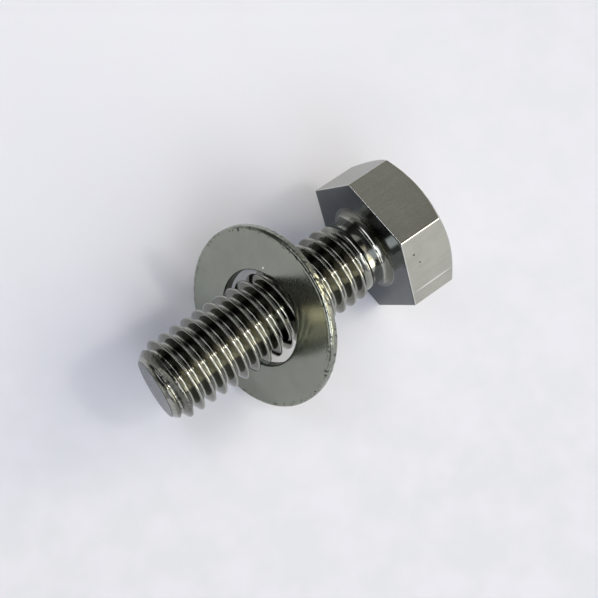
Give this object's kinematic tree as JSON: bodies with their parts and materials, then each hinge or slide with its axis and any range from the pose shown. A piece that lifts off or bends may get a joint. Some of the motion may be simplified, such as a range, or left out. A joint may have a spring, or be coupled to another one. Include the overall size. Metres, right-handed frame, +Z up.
{
  "type": "hex bolt with washer",
  "caption": "Stainless hexagon-head mounting bolt, threaded to the head, with a loose flat washer that slides along the thread.",
  "frame": {"origin": "middle of the footprint's bounding box, on the ground the bolt lies on", "axes": "+X along the bolt from the head to the tip, +Z up, +Y across the bolt"},
  "size_m": [0.0306, 0.0174, 0.0156],
  "materials": {
    "bolt_steel": "bright rolled stainless, satin on the flats",
    "washer_steel": "tumbled satin stainless"
  },
  "bodies": {
    "bolt": {"hex_bolt": "bolt_steel"},
    "washer": {"flat_washer": "washer_steel"}
  },
  "joints": [
    {"name": "washer_slide", "type": "slide", "parent": "bolt", "child": "washer", "axis": [0.9972, 0, 0.0746], "range_m": [-0.0085, 0.017]}
  ]
}
